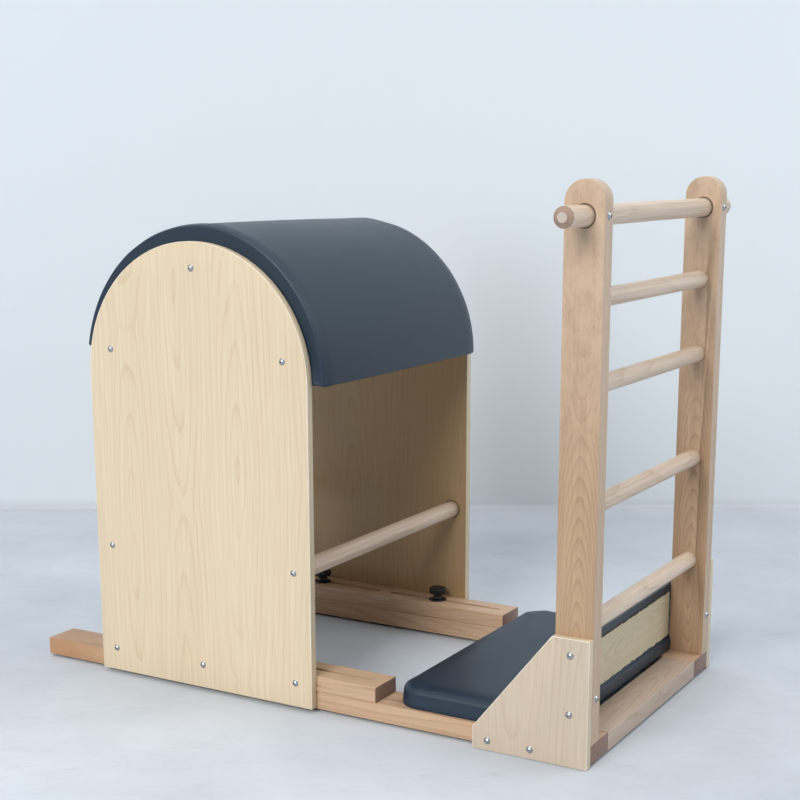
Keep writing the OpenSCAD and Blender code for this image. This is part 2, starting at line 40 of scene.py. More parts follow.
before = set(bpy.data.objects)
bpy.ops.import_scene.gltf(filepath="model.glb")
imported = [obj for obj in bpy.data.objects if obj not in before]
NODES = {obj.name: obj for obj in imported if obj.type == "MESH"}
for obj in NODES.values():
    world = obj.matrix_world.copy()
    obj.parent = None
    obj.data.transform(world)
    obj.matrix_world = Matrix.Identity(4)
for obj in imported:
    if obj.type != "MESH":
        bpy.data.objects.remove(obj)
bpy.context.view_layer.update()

# Places that several pieces share, read from the frame
PANEL_LOW, PANEL_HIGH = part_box("side_panel_near")
SHELL_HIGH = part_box("barrel_shell")[1]
COVER_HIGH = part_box("barrel_cover")[1]
FOOT_LOW, FOOT_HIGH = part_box("foot_pad_cover")
KICK_LOW, KICK_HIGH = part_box("kick_pad_cover")
POST_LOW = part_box("post_far")[0]
BAR_LOW, BAR_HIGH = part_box("top_bar")
ARCH_X = (PANEL_LOW.x + PANEL_HIGH.x) / 2
ARCH_Z = PANEL_HIGH.z - (PANEL_HIGH.x - PANEL_LOW.x) / 2
BOARD_SHADE_DEPTH = POST_LOW.y + 0.038  # nearer to the middle than this, a panel's face is its inner one, which gets painted shade
DOWEL_X, _, DOWEL_Z = (sum(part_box("front_dowel"), Vector()) / 2)
BAR_X = (BAR_LOW.x + BAR_HIGH.x) / 2
BAR_Z = (BAR_LOW.z + BAR_HIGH.z) / 2

# The camera: its place, its turn, its focal length and height of centre in pixels of the picture's width, and its
# sensor's width in millimetres
CAMERA_AT = Vector((1.671393, -2.757788, 1.087885))
YAW, PITCH, ROLL = (math.radians(angle) for angle in (30.165, 12.43, -0.119))
FOCAL, CENTRE, PICTURE = 1505.94, 498.19, 800
SENSOR = 36.0

# The way that the camera looks over the floor, and the way to its right
AWAY = Vector((-math.sin(YAW), math.cos(YAW), 0))
RIGHT = Vector((math.cos(YAW), math.sin(YAW), 0))

# The studio's sheet: how far it comes forward, where it turns up and with what bend, its height, half its width
SHEET_FRONT, SHEET_BACK, SHEET_BEND, SHEET_TOP, SHEET_HALF = -60.0, 1.56, 0.015, 9.0, 40.0

# Radii of the rings of painted shadow round the front dowel and the top bar, and of what counts as the rim of a
# post's hole
DOWEL_SHADOW_RING, BAR_SHADOW_RING, HOLE_NEAR = 0.0224, 0.0218, 0.0235

# Edges shorter than this belong to holes and aren't rounded: on boards, on rails, and on the slotted rails
SHORT_BOARD, SHORT_RAIL, SHORT_SLIDE = 0.009, 0.03, 0.02

# How much fuller the middle of a pad is than its edges, and the rounding at the foot of a flat pad
CROWN, FOOT_EASE = 0.002, 0.0015

BLACK = (0.0, 0.0, 0.0, 1.0)


def colour(name, description, value):
    """A colour that a user may change."""
    return bpy.props.FloatVectorProperty(
        name=name, description=description, default=value, size=3, min=0, max=1, subtype="COLOR")


def length(name, description, value, low=0.0, high=0.1):
    """A length that a user may change."""
    return bpy.props.FloatProperty(
        name=name, description=description, default=value, min=low, max=high, subtype="DISTANCE", unit="LENGTH")


class BarrelTones(bpy.types.PropertyGroup):
    """Colours of the finishes."""

    board_light: colour("Board, light", "Pale ground of the side panels", (0.795, 0.68, 0.50))
    board_dark: colour("Board, grain", "Grain lines of the side panels", (0.62, 0.46, 0.28))
    board_edge: colour("Board, edge band", "Edge band round the panels and gussets", (0.68, 0.57, 0.40))
    # Painted highlight: a paler tone on the chamfers round the panels' and gussets' faces, standing in for light
    # on them
    board_rim_highlight: colour("Board, chamfer highlight", "Painted highlight on the chamfers of the panels and gussets", (0.93, 0.87, 0.76))
    # Painted shade: a darker tint on the panels' inner faces, standing in for the shade inside the barrel
    board_inner_shade: colour("Board, inner shade", "Painted shade on the panels' inner faces", (0.62, 0.51, 0.39))
    gusset_light: colour("Gusset, light", "Pale ground of the gussets", (0.64, 0.545, 0.435))
    gusset_dark: colour("Gusset, grain", "Grain lines of the gussets", (0.50, 0.39, 0.28))
    beech_light: colour("Post, light", "Pale ground of the posts", (0.545, 0.374, 0.238))
    beech_dark: colour("Post, grain", "Grain lines of the posts", (0.315, 0.180, 0.102))
    # The posts turn paler towards their tops and on their sides
    beech_pale: colour("Post, pale", "Paler tone at the posts' tops and sides", (0.655, 0.505, 0.380))
    beech_end: colour("Hardwood, end", "End grain of the rails and bars", (0.16, 0.098, 0.074))
    rail_light: colour("Rail, light", "Pale ground of the rails", (0.64, 0.45, 0.305))
    rail_dark: colour("Rail, grain", "Grain lines of the rails", (0.42, 0.245, 0.135))
    rail_tan: colour("Rail, tan", "Tan heartwood at the base rails' free ends", (0.43, 0.225, 0.105))
    plank_light: colour("End board, light", "Pale ground of the end board", (0.58, 0.475, 0.39))
    plank_dark: colour("End board, grain", "Grain lines of the end board", (0.42, 0.30, 0.21))
    rung_light: colour("Rung, light", "Pale ground of the rungs and bars", (0.74, 0.605, 0.48))
    rung_dark: colour("Rung, grain", "Grain lines of the rungs and bars", (0.50, 0.345, 0.235))
    bar_end: colour("Bar, end ring", "Chamfer ring on the top bar's ends", (0.24, 0.165, 0.122))
    bar_disc: colour("Bar, end disc", "Flat disc on the top bar's ends", (0.56, 0.49, 0.43))
    birch_light: colour("Plywood, light", "Pale ground of the bare plywood", (0.70, 0.62, 0.44))
    birch_dark: colour("Plywood, grain", "Grain lines of the bare plywood", (0.50, 0.41, 0.25))
    leather: colour("Leather", "Upholstery leather of the three pads", (0.0068, 0.0218, 0.0415))
    plastic: colour("Plastic", "Moulded plastic of the clamp knobs", (0.005, 0.005, 0.006))
    steel: colour("Screws", "Bright plated screws", (0.42, 0.43, 0.45))
    rubber: colour("Rubber", "Feet under the base rails", (0.02, 0.02, 0.02))
    floor: colour("Floor", "Studio floor", (0.60, 0.647, 0.71))
    wall: colour("Wall", "Studio wall", (0.775, 0.84, 0.895))


class BarrelSizes(bpy.types.PropertyGroup):
    """Sizes of the soft and the eased shapes."""

    board_ease: length("Board edge", "Rounding of the panels' and gussets' edges", 0.0018, 0.0002, 0.004)
    beech_ease: length("Hardwood edge", "Rounding of the posts' and rails' edges", 0.0022, 0.0002, 0.006)
    arch_round: length("Arch pad edge", "Rounding of the arch pad's edges", 0.016, 0.004, 0.024)
    arch_fall: length("Arch pad flank", "How far the arch pad falls towards its long edges", 0.005, 0.0, 0.02)
    pad_round: length("Foot pad edge", "Rounding of the foot pad's top edge", 0.016, 0.004, 0.024)
    kick_round: length("Kick pad edge", "Rounding of the kick board's front edge", 0.013, 0.004, 0.020)
    puff: length("Puff", "How far the foam may push the leather out", 0.003, 0.0, 0.008)
    mesh_step: length("Cloth step", "Spacing of the leather's mesh", 0.009, 0.005, 0.03)


class Term:
    """A shader value that can be added, multiplied and compared like a number."""

    def __init__(self, web, socket):
        self.web = web
        self.socket = socket

    def __add__(self, other):
        return self.web.maths("ADD", self, other)

    def __radd__(self, other):
        return self.web.maths("ADD", other, self)

    def __sub__(self, other):
        return self.web.maths("SUBTRACT", self, other)

    def __rsub__(self, other):
        return self.web.maths("SUBTRACT", other, self)

    def __mul__(self, other):
        return self.web.maths("MULTIPLY", self, other)

    def __rmul__(self, other):
        return self.web.maths("MULTIPLY", other, self)

    def __truediv__(self, other):
        return self.web.maths("DIVIDE", self, other)

    def __pow__(self, other):
        return self.web.maths("POWER", self, other)

    def __gt__(self, other):
        return self.web.maths("GREATER_THAN", self, other)


class Web:
    """The nodes of one material or world."""

    def __init__(self, tree):
        self.tree = tree

    def fill(self, node, inputs):
        """Sets or links a node's sockets."""
        for key, value in inputs.items():
            if isinstance(value, Term):
                self.tree.links.new(value.socket, node.inputs[key])
            else:
                node.inputs[key].default_value = value

    def add(self, kind, settings=None, inputs=None, output=0):
        """Adds a node with its settings and its sockets' values or links, and returns an output."""
        node = self.tree.nodes.new("ShaderNode" + kind)
        for key, value in (settings or {}).items():
            setattr(node, key, value)
        self.fill(node, inputs or {})
        return Term(self, node.outputs[output])

    def surface(self, shader):
        """Joins a shader to the output."""
        output = next(node for node in self.tree.nodes if node.bl_idname.startswith("ShaderNodeOutput"))
        self.fill(output, {"Surface": shader})

    def maths(self, operation, *values, clamp=False):
        """One step of arithmetic on values."""
        return self.add("Math", {"operation": operation, "use_clamp": clamp}, dict(enumerate(values)))

    def clamped(self, value):
        """A value kept between 0 and 1."""
        return self.maths("MULTIPLY", value, 1.0, clamp=True)

    def smooth(self, value, start, stop):
        """A soft step from 0 to 1 between two values."""
        ramp = {"interpolation_type": "SMOOTHSTEP"}
        return self.add("MapRange", ramp, {"Value": value, "From Min": start, "From Max": stop})

    def blend(self, factor, first, second, mode="MIX"):
        """Mixes two colours."""
        settings = {"data_type": "RGBA", "blend_type": mode, "clamp_factor": True}
        return self.add("Mix", settings, {0: factor, 6: first, 7: second}, 2)

    def place(self):
        """The point on the piece, as three values in metres."""
        point = self.add("TexCoord", output="Object")
        return [self.add("SeparateXYZ", inputs={0: point}, output=i) for i in range(3)]

    def facing(self, axis):
        """How squarely the surface faces along an axis, from 0 to 1."""
        normal = self.add("TexCoord", output="Normal")
        return self.maths("ABSOLUTE", self.add("SeparateXYZ", inputs={0: normal}, output="XYZ".index(axis)))

    def vector(self, x, y, z):
        """Joins three values to a vector."""
        return self.add("CombineXYZ", inputs={0: x, 1: y, 2: z})

    def cloud(self, vector, scale, detail=2.0, rough=0.5):
        """Soft noise from 0 to 1."""
        inputs = {"Vector": vector, "Scale": scale, "Detail": detail, "Roughness": rough}
        return self.add("TexNoise", inputs=inputs, output="Fac")

    def relief(self, height, distance, strength=1.0):
        """A bump from a height between 0 and 1, which is a real depth in metres."""
        return self.add("Bump", inputs={"Strength": strength, "Distance": distance, "Height": height})


class Paint(Web):
    """A material's nodes, with its main shader joined to the output."""

    def __init__(self, name, ior=1.45, metallic=0.0):
        self.material = bpy.data.materials.new(name)
        self.material.use_nodes = True
        super().__init__(self.material.node_tree)
        self.tree.nodes.clear()
        self.shader = self.tree.nodes.new("ShaderNodeBsdfPrincipled")
        self.tree.nodes.new("ShaderNodeOutputMaterial")
        self.surface(Term(self, self.shader.outputs[0]))
        self.fill(self.shader, {"IOR": ior, "Metallic": metallic})

    def done(self, tone, rough, bump=None):
        """Gives the shader its colour, roughness and relief, and returns the material."""
        self.fill(self.shader, {"Base Color": tone, "Roughness": rough})
        if bump:
            self.fill(self.shader, {"Normal": bump})
        return self.material


def rgba(tone, share=1.0):
    """A colour, made lighter or darker by a share, with its alpha."""
    return (*(min(value * share, 1.0) for value in tone), 1.0)


def unit(value):
    """A number kept between 0 and 1."""
    return min(max(value, 0.0), 1.0)


def timber(name, light, dark, along, face, rings=0.006, sharp=5.0, figure=0.6, fine=1.0, wide=0.8, ground=0.32,
           leaf=None, middle=0.0, waver=1.0, slope=0.07, heart=0.02, blotch=0.0, seed=0.0, end=None, disc=None,
           edge=None, share=1.0, rim=None, inner=None, fade=None, shadow_ring=None, rough=0.42):
    """Wood cut along one axis and seen on the face of another, with growth rings, fibres and changes of tone.

    rings is the rings' spacing and sharp how thin their dark lines are. figure, fine and wide are the strengths
    of rings, fibres and streaks over the ground. middle is where the tree's heart lies across the piece, waver
    how it strays, slope and heart how the cut runs past it. leaf is the width of veneer leaves, blotch the
    strength of small spots. end and disc are the tones of the end grain and of its flat disc, edge and its share
    that of the sides, rim that of a painted highlight on a chamfer. inner is the depth and the painted shade of
    the inner face. fade is a second tone with its start, rate and share along the piece. gap is the centre and
    radius of a ring of painted shadow round a hole.
    """
    web = Paint(name)
    place = dict(zip("XYZ", web.place()))
    run = place[along] + seed
    depth = place[face]
    across = place[next(axis for axis in "XYZ" if axis not in (along, face))]
    wander = web.cloud(web.vector(across * 7.0 + seed, depth * 7.0, run * 1.3), 1.0, 2.0) - 0.5
    sway = across - middle + wander * (0.03 * waver)
    grown = run
    if leaf:
        index = web.maths("FLOOR", sway / leaf)
        pick = web.add("TexWhiteNoise", {"noise_dimensions": "1D"}, {"W": index + seed}, 0)
        sway = sway - (index + 0.5) * leaf + (pick - 0.5) * leaf * 0.4
        grown = run * (1.0 - (pick > 0.5) * 2.0) + pick * 3.7
    rise = web.maths("PINGPONG", grown * slope, 0.045) + heart + wander * (0.02 * waver)
    radius = web.maths("SQRT", sway * sway + rise * rise) + depth * 0.2
    ripple = web.cloud(web.vector(across * 60.0, depth * 60.0, run * 4.0), 1.0, 3.0) - 0.5
    ring = web.maths("FRACT", (radius + ripple * rings * 0.5) / rings)
    late = ring ** sharp * (1.0 - ring ** 40.0)
    patchy = web.cloud(web.vector(across * 14.0, depth * 14.0, run * 2.2 + 5.0), 1.0, 2.0)
    strength = web.clamped((patchy - 0.30) * 3.2)
    fibre = web.cloud(web.vector(across * 420.0, depth * 420.0, run * 6.0), 1.0, 2.0, 0.6) - 0.5
    streak = web.cloud(web.vector(across * 130.0, depth * 130.0, run * 2.2), 1.0, 3.0, 0.6) - 0.5
    tone = web.cloud(web.vector(across * 6.0, depth * 6.0, run * 0.9), 1.0, 2.0) - 0.5
    spots = web.cloud(web.vector(across * 60.0, depth * 60.0, run * 26.0), 1.0, 3.0, 0.65) - 0.5
    if fade:
        faded, start, rate, fade_share = fade
        up = web.clamped((place[along] - start) * rate)
        strength = web.maths("MAXIMUM", strength, 0.75) * (1.0 - up * 0.7)
    amount = late * strength * figure + fibre * fine + (streak + tone) * wide + ground
    if blotch:
        amount = amount + spots * (up * blotch if fade else blotch)
    base = web.blend(web.clamped(amount), rgba(light), rgba(dark))
    if fade:
        base = web.blend(up * fade_share, base, rgba(faded))
    # Painted shade: the panels' inner faces are tinted darker, as the inside of the barrel lies in shade
    if inner:
        shaded_inside = (inner[0] - web.maths("ABSOLUTE", depth)) > 0.0
        base = web.blend(shaded_inside, base, rgba(inner[1]), "MULTIPLY")
    if edge:
        base = web.blend((1.0 - (web.facing(face) > 0.6)) * share, base, rgba(edge))
    # Painted highlight: the chamfer round a face is made paler, as if it caught the light
    if rim:
        turn = web.facing(face)
        base = web.blend((turn > 0.25) * (1.0 - (turn > 0.97)) * 0.85, base, rgba(rim))
    if end:
        speck = web.cloud(web.vector(across * 300.0, depth * 300.0, run * 2.0), 1.0, 2.0, 0.7)
        arcs = web.blend(late * 0.5 + (speck - 0.5) * 1.2 + 0.2, rgba(end, 1.7), rgba(end))
        base = web.blend(web.facing(along) > 0.55, base, arcs)
        if disc:
            base = web.blend(web.facing(along) > 0.95, base, rgba(disc))
    # Painted shadow: a dark ring round the hole of the bar or dowel, standing in for the shade in the gap
    if shadow_ring:
        off_x, off_z = place["X"] - shadow_ring[0], place["Z"] - shadow_ring[1]
        far = web.maths("SQRT", off_x * off_x + off_z * off_z)
        near = (shadow_ring[2] - far > 0.0) * 0.8
        if inner:
            near = near * shaded_inside
        base = web.blend(near, base, rgba(dark, 0.2))
    bump = web.relief(fibre * -0.8 + late * -0.3, 0.0002, 0.5)
    return web.done(base, rough + fibre * 0.3 + late * 0.06, bump)


def hide(name, tone):
    """Smooth satin upholstery leather with a fine pebble and a little change of tone."""
    web = Paint(name, 1.47)
    point = web.vector(*web.place())
    pebble = web.add("TexVoronoi", {"feature": "F1"}, {"Vector": point, "Scale": 620.0}, "Distance")
    crease = web.cloud(point, 260.0, 3.0, 0.6)
    cloudy = web.cloud(point, 9.0, 3.0, 0.55)
    soft = web.cloud(point, 46.0, 2.0)
    shade = web.blend(cloudy * 0.55 + soft * 0.25, rgba(tone, 0.90), rgba(tone, 1.12))
    bump = web.relief(pebble * 0.7 + crease * 0.5, 0.00018, 0.55)
    return web.done(shade, 0.31 + cloudy * 0.08 + pebble * 0.10, bump)


def moulded(name, tone, rough=0.38, pit=900.0):
    """Moulded plastic or rubber with a fine matt texture."""
    web = Paint(name, 1.38)
    point = web.vector(*web.place())
    grain = web.cloud(point, pit, 2.0)
    wear = web.cloud(point, 40.0, 3.0)
    shade = web.blend(wear * 0.7, rgba(tone), rgba(tone, 1.9))
    return web.done(shade, rough + (wear - 0.5) * 0.14, web.relief(grain, 0.00006, 0.6))


def plated(name, tone, rough=0.14):
    """Bright plated metal with faint turning marks."""
    web = Paint(name, 1.5, 1.0)
    point = web.vector(*web.place())
    smear = web.cloud(point, 300.0, 3.0)
    shade = web.blend(smear * 0.4, rgba(tone), rgba(tone, 0.85))
    bump = web.relief(web.cloud(point, 2200.0, 1.0), 0.00002, 0.4)
    return web.done(shade, rough + (smear - 0.5) * 0.10, bump)


def stage_paint(name, floor, wall):
    """Matt paint of the studio: a scuffed floor with painted shade towards the wall and to the right, and a wall
    with a painted soft shadow and painted shade towards its foot.

    Seen from behind, the wall lets the view through.
    """
    web = Paint(name, 1.3)
    x, y, z = web.place()
    reach = y * AWAY.y + x * AWAY.x
    side = x * AWAY.y - y * AWAY.x
    right = web.smooth(side, 0.05, 0.75)
    # Painted shade: the floor darkens towards the wall and to the right
    floor_shade = web.smooth(reach, -0.4, 1.6) * 0.15 * (1.0 - right) + right * 0.10
    cloudy = web.cloud(web.vector(x, y, 0.0), 2.4, 6.0, 0.68)
    worn = web.cloud(web.vector(side * 1.0, reach * 2.4, 3.0), 8.0, 7.0, 0.75)
    scuff = web.clamped((worn - 0.56) * 4.0)
    scratch = web.cloud(web.vector(side * 14.0, reach * 90.0, 1.0), 1.0, 3.0, 0.7)
    mottle = (cloudy - 0.5) * 1.5 + scuff * 0.55 + (scratch - 0.5) * 0.35 + 0.35
    ground = web.blend(mottle, rgba(floor, 1.10), rgba(floor, 0.82))
    ground = web.blend(floor_shade, ground, BLACK)
    # Painted shadow: a soft dark patch on the wall beside the barrel; painted shade: the wall darkens towards its
    # foot
    off = (side - 0.405) / 0.25
    wall_shadow = (1.0 - web.smooth(z, 0.55, 1.05)) / web.maths("EXPONENT", off * off) * 0.20
    low = (1.0 - web.smooth(z, 0.1, 1.3)) * 0.10
    back = web.blend(wall_shadow + low, rgba(wall), BLACK)
    height = web.maths("SMOOTH_MIN", z / 0.03, 1.0)
    behind = web.add("NewGeometry", output="Backfacing")
    clear = web.add("BsdfTransparent")
    painted = Term(web, web.shader.outputs[0])
    web.surface(web.add("MixShader", inputs={0: behind, 1: painted, 2: clear}))
    return web.done(web.blend(height, ground, back), 0.85)


FINISHES = {}


def finish(key):
    """The material of a finish, made when it is first asked for."""
    if key not in FINISHES:
        tones = bpy.context.scene.barrel_tones
        board = dict(light=tones.board_light, dark=tones.board_dark, edge=tones.board_edge, along="Z", face="Y",
                     leaf=0.16, rings=0.012, sharp=6.0, slope=0.10, heart=0.006, figure=0.55, fine=1.0,
                     wide=0.32, ground=0.24, rim=tones.board_rim_highlight, rough=0.36)
        panel = {**board, "inner": (BOARD_SHADE_DEPTH, tones.board_inner_shade), "shadow_ring": (DOWEL_X, DOWEL_Z, DOWEL_SHADOW_RING)}
        gusset = {**board, "light": tones.gusset_light, "dark": tones.gusset_dark, "middle": BAR_X - 0.05}
        post = dict(light=tones.beech_light, dark=tones.beech_dark, along="Z", face="Y", edge=tones.beech_pale,
                    rings=0.0038, sharp=4.0, figure=0.70, slope=0.10, heart=0.010, waver=0.35,
                    middle=BAR_X + 0.003, fine=0.7, wide=0.6, ground=0.22, blotch=3.0, share=0.5,
                    fade=(tones.beech_pale, 0.50, 2.6, 0.45), shadow_ring=(BAR_X, BAR_Z, BAR_SHADOW_RING))
        rail = dict(light=tones.rail_light, dark=tones.rail_dark, end=tones.beech_end, along="X", face="Z",
                    rings=0.005, slope=0.05, middle=0.28, blotch=0.35)
        tan = dict(fade=(tones.rail_tan, -0.44, -7.0, 0.75), blotch=1.6)
        plank = dict(light=tones.plank_light, dark=tones.plank_dark, along="Y", middle=BAR_X)
        bars = dict(light=tones.rung_light, dark=tones.rung_dark, along="Y", face="Z", rings=0.006, slope=0.04,
                    middle=BAR_X, wide=1.3, rough=0.34)
        birch = dict(light=tones.birch_light, dark=tones.birch_dark, along="Y", rings=0.007, sharp=2.5,
                     slope=0.12, figure=0.5, wide=0.45, fine=0.7, ground=0.25, middle=0.13, rough=0.6)
        kinds = {
            "panel_near": lambda: timber("Maple board, near panel", **panel, seed=1.3),
            "panel_far": lambda: timber("Maple board, far panel", **panel, seed=6.1),
            "gusset": lambda: timber("Maple board, gussets", **gusset, seed=3.4),
            "post": lambda: timber("Beech posts", **post, seed=0.72),
            "rail": lambda: timber("Beech base rails", **{**rail, **tan}, seed=0.7),
            "slide": lambda: timber("Beech slotted rails", **rail, seed=4.9),
            "board": lambda: timber("Beech end board", **{**rail, **plank}, seed=7.7),
            "round": lambda: timber("Beech rungs", **bars, seed=5.5),
            "bar": lambda: timber("Beech top bar", **bars, seed=8.8, end=tones.bar_end, disc=tones.bar_disc),
            "plywood": lambda: timber("Birch plywood", **birch, face="X", seed=8.2),
            "shell": lambda: timber("Birch plywood, bent", **birch, face="Z", seed=9.6),
            "leather": lambda: hide("Slate leather", tones.leather),
            "plastic": lambda: moulded("Black plastic", tones.plastic),
            "rubber": lambda: moulded("Rubber", tones.rubber, 0.75, 500.0),
            "screw": lambda: plated("Plated screws", tones.steel),
            "stud": lambda: plated("Zinc studs", [c * 0.8 for c in tones.steel], 0.3),
            "brass": lambda: plated("Brass inserts", (0.72, 0.52, 0.24), 0.3),
            "foam": lambda: moulded("Foam", (0.55, 0.55, 0.52), 0.9, 700.0),
            "studio": lambda: stage_paint("Studio", tones.floor, tones.wall),
        }
        FINISHES[key] = kinds[key]()
    return FINISHES[key]


def put_in_scene(name, bm, material, sharp=35.0):
    """Turns a bmesh into a piece with its material, smooth except at sharp edges."""
    mesh = bpy.data.meshes.new(name)
    bm.to_mesh(mesh)
    bm.free()
    mesh.shade_smooth()
    if sharp:
        mesh.set_sharp_from_angle(angle=math.radians(sharp))
    mesh.materials.append(material)
    piece = bpy.data.objects.new(name, mesh)
    bpy.context.scene.collection.objects.link(piece)
    return piece


def paint_node(node, key):
    """Gives a CAD node its finish."""
    slots = NODES[node].material_slots
    if not slots:
        NODES[node].data.materials.append(finish(key))
    for item in slots:
        item.material = finish(key)


def bevel(bm, edges, width, segments):
    """Rounds edges."""
    bmesh.ops.bevel(bm, geom=edges, offset=width, offset_type="OFFSET", segments=segments, profile=0.5,
                    affect="EDGES", material=-1, clamp_overlap=True)


def eased(node, width, key, body, keep=lambda point: True, least=0.0):
    """Stands a copy of a wooden node in its place, with its outer edges rounded.

    keep says which edges are rounded, by their middle, and least how long they are.
    """
    bm = bmesh.new()
    bm.from_mesh(NODES[node].data)
    bmesh.ops.remove_doubles(bm, verts=bm.verts, dist=2e-5)
    bmesh.ops.dissolve_limit(bm, angle_limit=math.radians(0.8), verts=bm.verts, edges=bm.edges)
    edges = []
    for edge in bm.edges:
        if len(edge.link_faces) != 2 or edge.calc_face_angle(0) < math.radians(25):
            continue
        middle = (edge.verts[0].co + edge.verts[1].co) / 2
        if edge.calc_length() >= least and keep(middle):
            edges.append(edge)
    bevel(bm, edges, width, 3)
    piece = put_in_scene(node + "_eased", bm, finish(key), 24.0)
    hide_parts(node)
    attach(piece, body)


def slab(size, corner_round, top_round, foot_round, step, back_round):
    """Block on z = 0, centred in x and y, with rounded corners and top edges, cut into an even mesh."""
    bm = bmesh.new()
    place = Matrix.Translation((0, 0, size[2] / 2)) @ Matrix.Diagonal((*size, 1))
    bmesh.ops.create_cube(bm, size=1.0, matrix=place)

    def ease(test, width, segments):
        bevel(bm, [e for e in bm.edges if test(e.verts[0].co, e.verts[1].co)], width, segments)

    for side, width in ((-1, corner_round), (1, back_round)):
        ease(lambda a, b: abs(a.z - b.z) > size[2] / 2 and a.x * side > size[0] * 0.49, width, 8)
    top = size[2] - 1e-6
    ease(lambda a, b: a.z > top and b.z > top and (abs(a.x) > size[0] * 0.49 or abs(a.y) > size[1] * 0.49 or
         (a - b).length < size[0] * 0.2), top_round, 6)
    if foot_round:
        ease(lambda a, b: a.z < 1e-6 and b.z < 1e-6, foot_round, 2)
    for axis, whole in ((0, size[0]), (1, size[1]), (2, size[2])):
        count = max(int(whole / step), 1)
        for i in range(1, count):
            normal = Vector([float(axis == other) for other in range(3)])
            point = normal * (whole * i / count - (whole / 2 if axis < 2 else 0))
            geom = list(bm.verts) + list(bm.edges) + list(bm.faces)
            bmesh.ops.bisect_plane(bm, geom=geom, dist=step * 0.05, plane_co=point, plane_no=normal)
    bmesh.ops.recalc_face_normals(bm, faces=bm.faces)
    return bm


def stuff(piece, held, limit):
    """Lets the foam push the leather out, up to a limit, with a short cloth run.

    held says how firmly a point is kept, from 0 to 1.
    """
    frames = 20
    before = [vertex.co.copy() for vertex in piece.data.vertices]
    group = piece.vertex_groups.new(name="held")
    for vertex in piece.data.vertices:
        group.add([vertex.index], held(vertex.co), "REPLACE")
    cloth = piece.modifiers.new("Leather", "CLOTH")
    settings = cloth.settings
    settings.quality = 5
    settings.use_pressure = True
    settings.uniform_pressure_force = 4.0
    settings.vertex_group_mass = group.name
    settings.effector_weights.gravity = 0.0
    settings.tension_stiffness = 40.0
    settings.compression_stiffness = 40.0
    settings.bending_stiffness = 2.0
    cloth.point_cache.frame_start = 1
    cloth.point_cache.frame_end = frames
    scene = bpy.context.scene
    for number in range(1, frames + 1):
        scene.frame_set(number)
        bpy.context.view_layer.update()
    solved = piece.evaluated_get(bpy.context.evaluated_depsgraph_get()).to_mesh()
    after = [vertex.co.copy() for vertex in solved.vertices]
    piece.modifiers.remove(cloth)
    scene.frame_set(1)
    for vertex, old, new in zip(piece.data.vertices, before, after):
        move = new - old
        far = move.length
        if far > 1e-9:
            vertex.co = old + move * (limit * (1 - math.exp(-far / limit)) / far)
    piece.vertex_groups.remove(group)
    piece.data.update()


def subdivide(piece):
    """Smooths a piece with one subdivision."""
    finer = piece.modifiers.new("Smooth", "SUBSURF")
    finer.levels = finer.render_levels = 1


